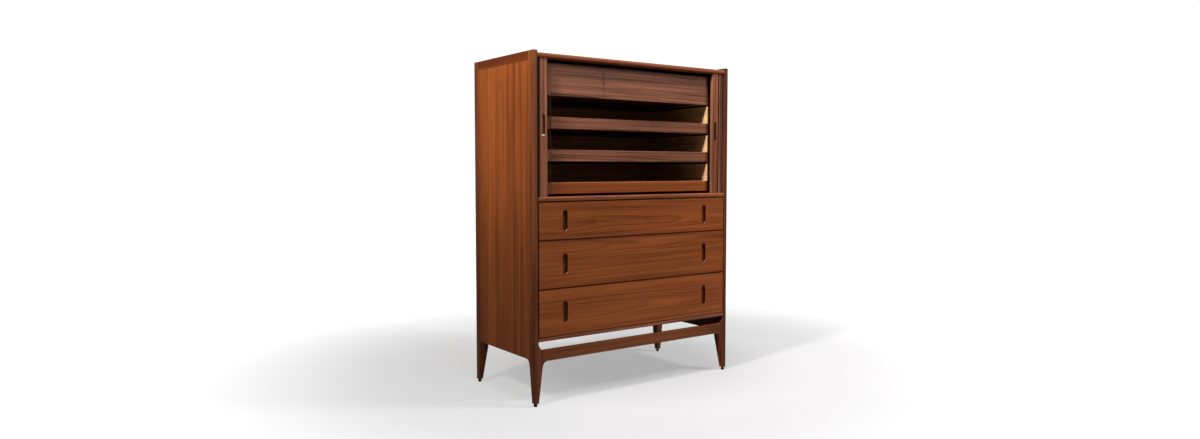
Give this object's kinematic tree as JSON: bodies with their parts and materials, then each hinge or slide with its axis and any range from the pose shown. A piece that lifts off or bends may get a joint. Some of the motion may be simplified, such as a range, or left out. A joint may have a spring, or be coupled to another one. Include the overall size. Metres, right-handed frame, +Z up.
{
  "type": "tambour door chest",
  "caption": "Tall walnut chest on tapered legs, with wide drawers below and pull-out trays behind sliding tambour doors above.",
  "frame": {"origin": "on the floor, under the middle of the chest's width and depth", "axes": "+Z up, +X to the right of someone who faces the drawers, and the front faces -Y"},
  "size_m": [0.965, 0.457, 1.295],
  "materials": {
    "case_walnut": "satin",
    "front_walnut": "satin",
    "side_walnut": "satin",
    "leg_walnut": "satin",
    "box_maple": "satin",
    "box_plywood": "matt",
    "back_plywood": "matt",
    "slide_steel": "satin",
    "glide_plastic": "matt"
  },
  "bodies": {
    "case": {"front_left_leg": "leg_walnut", "front_right_leg": "leg_walnut", "back_left_leg": "leg_walnut", "back_right_leg": "leg_walnut", "front_left_glide": "glide_plastic", "front_right_glide": "glide_plastic", "back_left_glide": "glide_plastic", "back_right_glide": "glide_plastic", "left_side_panel": "side_walnut", "right_side_panel": "side_walnut", "bottom_panel": "case_walnut", "divider_panel": "case_walnut", "top_panel": "case_walnut", "left_partition": "case_walnut", "right_partition": "case_walnut", "front_stretcher": "leg_walnut", "back_panel": "back_plywood", "left_drawer_slides": "slide_steel", "right_drawer_slides": "slide_steel", "left_tray_slides": "slide_steel", "right_tray_slides": "slide_steel", "left_tambour_curtain": "case_walnut", "right_tambour_curtain": "case_walnut"},
    "left_door": {"left_lead_slat": "case_walnut"},
    "right_door": {"right_lead_slat": "case_walnut"},
    "inner_drawer": {"inner_drawer_front": "front_walnut", "inner_drawer_left_side": "box_maple", "inner_drawer_right_side": "box_maple", "inner_drawer_back": "box_maple", "inner_drawer_bottom": "box_plywood"},
    "upper_tray": {"upper_tray_front": "front_walnut", "upper_tray_left_side": "box_maple", "upper_tray_right_side": "box_maple", "upper_tray_back": "box_maple", "upper_tray_bottom": "box_plywood"},
    "middle_tray": {"middle_tray_front": "front_walnut", "middle_tray_left_side": "box_maple", "middle_tray_right_side": "box_maple", "middle_tray_back": "box_maple", "middle_tray_bottom": "box_plywood"},
    "lower_tray": {"lower_tray_front": "front_walnut", "lower_tray_left_side": "box_maple", "lower_tray_right_side": "box_maple", "lower_tray_back": "box_maple", "lower_tray_bottom": "box_plywood"},
    "upper_drawer": {"upper_drawer_front": "front_walnut", "upper_drawer_left_side": "box_maple", "upper_drawer_right_side": "box_maple", "upper_drawer_back": "box_maple", "upper_drawer_bottom": "box_plywood"},
    "middle_drawer": {"middle_drawer_front": "front_walnut", "middle_drawer_left_side": "box_maple", "middle_drawer_right_side": "box_maple", "middle_drawer_back": "box_maple", "middle_drawer_bottom": "box_plywood"},
    "lower_drawer": {"lower_drawer_front": "front_walnut", "lower_drawer_left_side": "box_maple", "lower_drawer_right_side": "box_maple", "lower_drawer_back": "box_maple", "lower_drawer_bottom": "box_plywood"}
  },
  "joints": [
    {"name": "left_door_slide", "type": "slide", "parent": "case", "child": "left_door", "axis": [-1, 0, 0], "range_m": [-0.4177, 0], "deforming": ["left_tambour_curtain"]},
    {"name": "right_door_slide", "type": "slide", "parent": "case", "child": "right_door", "axis": [1, 0, 0], "range_m": [-0.3975, 0], "deforming": ["right_tambour_curtain"]},
    {"name": "inner_drawer_slide", "type": "slide", "parent": "case", "child": "inner_drawer", "axis": [0, -1, 0], "range_m": [0, 0.3]},
    {"name": "upper_tray_slide", "type": "slide", "parent": "case", "child": "upper_tray", "axis": [0, -1, 0], "range_m": [0, 0.3]},
    {"name": "middle_tray_slide", "type": "slide", "parent": "case", "child": "middle_tray", "axis": [0, -1, 0], "range_m": [0, 0.3]},
    {"name": "lower_tray_slide", "type": "slide", "parent": "case", "child": "lower_tray", "axis": [0, -1, 0], "range_m": [0, 0.3]},
    {"name": "upper_drawer_slide", "type": "slide", "parent": "case", "child": "upper_drawer", "axis": [0, -1, 0], "range_m": [0, 0.33]},
    {"name": "middle_drawer_slide", "type": "slide", "parent": "case", "child": "middle_drawer", "axis": [0, -1, 0], "range_m": [0, 0.33]},
    {"name": "lower_drawer_slide", "type": "slide", "parent": "case", "child": "lower_drawer", "axis": [0, -1, 0], "range_m": [0, 0.33]}
  ]
}
